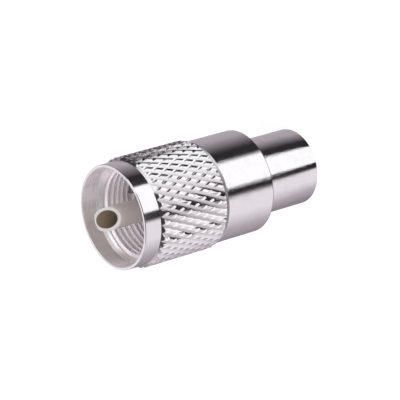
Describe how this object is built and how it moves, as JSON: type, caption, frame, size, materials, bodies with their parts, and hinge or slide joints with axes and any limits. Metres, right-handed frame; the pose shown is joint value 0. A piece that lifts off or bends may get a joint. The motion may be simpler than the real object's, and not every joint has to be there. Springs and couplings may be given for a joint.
{
  "type": "UHF coaxial plug",
  "caption": "Nickel-plated UHF cable plug with a knurled coupling nut that turns and slides, a hollow centre pin, a smooth collar and a crimp ferrule.",
  "frame": {"origin": "on the axis, at the rear end of the crimp ferrule, where the plug stands", "axes": "+Z along the plug's axis towards its mating end; the slanted cut of the centre pin faces -Y; +X to the right of that"},
  "size_m": [0.019, 0.019, 0.0421],
  "materials": {
    "nickel_nut": "bright nickel plate on turned and knurled brass",
    "spring_bronze": "bare spring bronze",
    "nickel_body": "satin nickel plate on turned brass",
    "nickel_ferrule": "satin nickel plate on turned brass",
    "white_ptfe": "white PTFE, matt and slightly waxy",
    "nickel_pin": "nickel plate, bare brass in the bore"
  },
  "bodies": {
    "plug": {"plug_body": "nickel_body", "crimp_ferrule": "nickel_ferrule", "insulator": "white_ptfe", "centre_pin": "nickel_pin"},
    "ring": {"snap_ring": "spring_bronze"},
    "nut": {"coupling_nut": "nickel_nut"}
  },
  "joints": [
    {"name": "nut_slide", "type": "slide", "parent": "plug", "child": "ring", "axis": [0, 0, 1], "range_m": [0, 0.003]},
    {"name": "nut_spin", "type": "hinge", "parent": "ring", "child": "nut", "pos_m": [0, 0, 0.0248], "axis": [0, 0, 1], "continuous": true}
  ]
}
